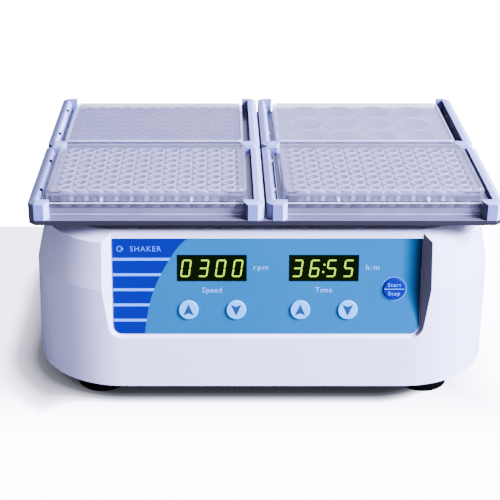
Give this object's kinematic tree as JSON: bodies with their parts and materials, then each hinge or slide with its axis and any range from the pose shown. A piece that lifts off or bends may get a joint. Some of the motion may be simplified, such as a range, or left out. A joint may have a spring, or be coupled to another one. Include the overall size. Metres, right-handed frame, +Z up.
{
  "type": "orbital shaker",
  "caption": "Benchtop microplate orbital shaker with a sloping control panel, a crank-driven platform and railed nests holding lidded well plates.",
  "frame": {"origin": "on the table under the middle of the machine, at the underside of the rubber feet", "axes": "+Z up, -Y towards the operator and the control panel, +X to the right of someone facing the panel"},
  "size_m": [0.29, 0.2152, 0.132],
  "materials": {
    "housing_plastic": "fine moulded texture",
    "plated_steel": "zinc plated",
    "foot_rubber": "matte",
    "chassis_aluminium": "milled",
    "bush_bronze": "sintered",
    "motor_black": "satin",
    "belt_rubber": "matte",
    "platform_dark": "dark anodised",
    "rail_plastic": "satin",
    "clear_styrene": "clear",
    "panel_film": "printed film",
    "window_dark": "tinted",
    "display_black": "satin",
    "board_green": "solder mask",
    "black_plastic": "moulded",
    "rocker_plastic": "moulded",
    "arrow_button_plastic": "satin",
    "start_button_plastic": "satin"
  },
  "bodies": {
    "base": {"top_housing": "housing_plastic", "bottom_plate": "plated_steel", "rubber_feet": "foot_rubber", "base_screws": "plated_steel", "chassis_plate": "chassis_aluminium", "standoffs": "plated_steel", "chassis_screws": "plated_steel", "bearing_housing": "chassis_aluminium", "bearing_outer_rings": "plated_steel", "idler_cups": "bush_bronze", "motor_body": "motor_black", "drive_belt": "belt_rubber", "panel_overlay": "panel_film", "display_windows": "window_dark", "panel_board": "board_green", "panel_screws": "plated_steel", "display_modules": "display_black", "tact_switches": "black_plastic", "control_board": "board_green", "power_supply": "board_green", "mains_inlet": "black_plastic", "fuse_drawer": "black_plastic", "switch_bezel": "black_plastic"},
    "drive": {"drive_shaft": "plated_steel", "driven_pulley": "chassis_aluminium", "counterweight": "plated_steel", "bearing_inner_rings": "plated_steel"},
    "motor_rotor": {"motor_shaft": "plated_steel", "motor_pulley": "chassis_aluminium"},
    "platform": {"platform_plate": "platform_dark", "platform_hub": "chassis_aluminium", "eccentric_outer_ring": "plated_steel", "platform_bushes": "bush_bronze", "platform_screws": "plated_steel", "holder_rails_front_left": "rail_plastic", "holder_rails_front_right": "rail_plastic", "holder_rails_back_left": "rail_plastic", "holder_rails_back_right": "rail_plastic"},
    "rocker": {"rocker_switch": "rocker_plastic"},
    "idler_front_left": {"idler_crank_front_left": "plated_steel"},
    "idler_front_right": {"idler_crank_front_right": "plated_steel"},
    "idler_back_left": {"idler_crank_back_left": "plated_steel"},
    "idler_back_right": {"idler_crank_back_right": "plated_steel"},
    "speed_up": {"speed_up_button": "arrow_button_plastic"},
    "speed_down": {"speed_down_button": "arrow_button_plastic"},
    "time_up": {"time_up_button": "arrow_button_plastic"},
    "time_down": {"time_down_button": "arrow_button_plastic"},
    "start_stop": {"start_stop_button": "start_button_plastic"},
    "pins_front_left": {"spring_pins_front_left": "plated_steel"},
    "pins_front_right": {"spring_pins_front_right": "plated_steel"},
    "pins_back_left": {"spring_pins_back_left": "plated_steel"},
    "pins_back_right": {"spring_pins_back_right": "plated_steel"},
    "plate_front_left": {"microplate_front_left": "clear_styrene"},
    "plate_front_right": {"microplate_front_right": "clear_styrene"},
    "plate_back_left": {"microplate_back_left": "clear_styrene"},
    "plate_back_right": {"microplate_back_right": "clear_styrene"},
    "lid_front_left": {"plate_lid_front_left": "clear_styrene"},
    "lid_front_right": {"plate_lid_front_right": "clear_styrene"},
    "lid_back_left": {"plate_lid_back_left": "clear_styrene"},
    "lid_back_right": {"plate_lid_back_right": "clear_styrene"}
  },
  "joints": [
    {"name": "drive_spin", "type": "hinge", "parent": "base", "child": "drive", "pos_m": [0, -0.002, 0.05], "axis": [0, 0, 1], "continuous": true},
    {"name": "platform_orbit", "type": "hinge", "parent": "drive", "child": "platform", "pos_m": [0, 0, 0.1086], "axis": [0, 0, 1], "continuous": true},
    {"name": "motor_spin", "type": "hinge", "parent": "base", "child": "motor_rotor", "pos_m": [0, 0.06, 0.051], "axis": [0, 0, 1], "continuous": true},
    {"name": "idler_spin_front_left", "type": "hinge", "parent": "base", "child": "idler_front_left", "pos_m": [-0.084, -0.056, 0.08], "axis": [0, 0, 1], "continuous": true},
    {"name": "idler_spin_front_right", "type": "hinge", "parent": "base", "child": "idler_front_right", "pos_m": [0.084, -0.056, 0.08], "axis": [0, 0, 1], "continuous": true},
    {"name": "idler_spin_back_left", "type": "hinge", "parent": "base", "child": "idler_back_left", "pos_m": [-0.084, 0.052, 0.08], "axis": [0, 0, 1], "continuous": true},
    {"name": "idler_spin_back_right", "type": "hinge", "parent": "base", "child": "idler_back_right", "pos_m": [0.084, 0.052, 0.08], "axis": [0, 0, 1], "continuous": true},
    {"name": "speed_up_press", "type": "slide", "parent": "base", "child": "speed_up", "axis": [0, 0.986, -0.1668], "range_m": [0, 0.0008], "stiffness_N_per_m": 300},
    {"name": "speed_down_press", "type": "slide", "parent": "base", "child": "speed_down", "axis": [0, 0.986, -0.1668], "range_m": [0, 0.0008], "stiffness_N_per_m": 300},
    {"name": "time_up_press", "type": "slide", "parent": "base", "child": "time_up", "axis": [0, 0.986, -0.1668], "range_m": [0, 0.0008], "stiffness_N_per_m": 300},
    {"name": "time_down_press", "type": "slide", "parent": "base", "child": "time_down", "axis": [0, 0.986, -0.1668], "range_m": [0, 0.0008], "stiffness_N_per_m": 300},
    {"name": "start_stop_press", "type": "slide", "parent": "base", "child": "start_stop", "axis": [0, 0.986, -0.1668], "range_m": [0, 0.0008], "stiffness_N_per_m": 300},
    {"name": "rocker_tilt", "type": "hinge", "parent": "base", "child": "rocker", "pos_m": [-0.032, 0.1, 0.038], "axis": [1, 0, 0], "range_deg": [-12, 0]},
    {"name": "pins_push_front_left", "type": "slide", "parent": "platform", "child": "pins_front_left", "axis": [-1, 0, 0], "range_m": [0, 0.0004], "stiffness_N_per_m": 300},
    {"name": "pins_push_front_right", "type": "slide", "parent": "platform", "child": "pins_front_right", "axis": [-1, 0, 0], "range_m": [0, 0.0004], "stiffness_N_per_m": 300},
    {"name": "pins_push_back_left", "type": "slide", "parent": "platform", "child": "pins_back_left", "axis": [-1, 0, 0], "range_m": [0, 0.0004], "stiffness_N_per_m": 300},
    {"name": "pins_push_back_right", "type": "slide", "parent": "platform", "child": "pins_back_right", "axis": [-1, 0, 0], "range_m": [0, 0.0004], "stiffness_N_per_m": 300},
    {"name": "plate_lift_front_left", "type": "slide", "parent": "platform", "child": "plate_front_left", "axis": [0, 0, 1], "range_m": [0, 0.03]},
    {"name": "plate_lift_front_right", "type": "slide", "parent": "platform", "child": "plate_front_right", "axis": [0, 0, 1], "range_m": [0, 0.03]},
    {"name": "plate_lift_back_left", "type": "slide", "parent": "platform", "child": "plate_back_left", "axis": [0, 0, 1], "range_m": [0, 0.03]},
    {"name": "plate_lift_back_right", "type": "slide", "parent": "platform", "child": "plate_back_right", "axis": [0, 0, 1], "range_m": [0, 0.03]},
    {"name": "lid_lift_front_left", "type": "slide", "parent": "plate_front_left", "child": "lid_front_left", "axis": [0, 0, 1], "range_m": [0, 0.03]},
    {"name": "lid_lift_front_right", "type": "slide", "parent": "plate_front_right", "child": "lid_front_right", "axis": [0, 0, 1], "range_m": [0, 0.03]},
    {"name": "lid_lift_back_left", "type": "slide", "parent": "plate_back_left", "child": "lid_back_left", "axis": [0, 0, 1], "range_m": [0, 0.03]},
    {"name": "lid_lift_back_right", "type": "slide", "parent": "plate_back_right", "child": "lid_back_right", "axis": [0, 0, 1], "range_m": [0, 0.03]}
  ],
  "couplings": [
    {"joint": "platform_orbit", "follows": "drive_spin", "ratio": -1},
    {"joint": "motor_spin", "follows": "drive_spin", "ratio": 3.0243},
    {"joint": "idler_spin_front_left", "follows": "drive_spin", "ratio": 1},
    {"joint": "idler_spin_front_right", "follows": "drive_spin", "ratio": 1},
    {"joint": "idler_spin_back_left", "follows": "drive_spin", "ratio": 1},
    {"joint": "idler_spin_back_right", "follows": "drive_spin", "ratio": 1}
  ]
}
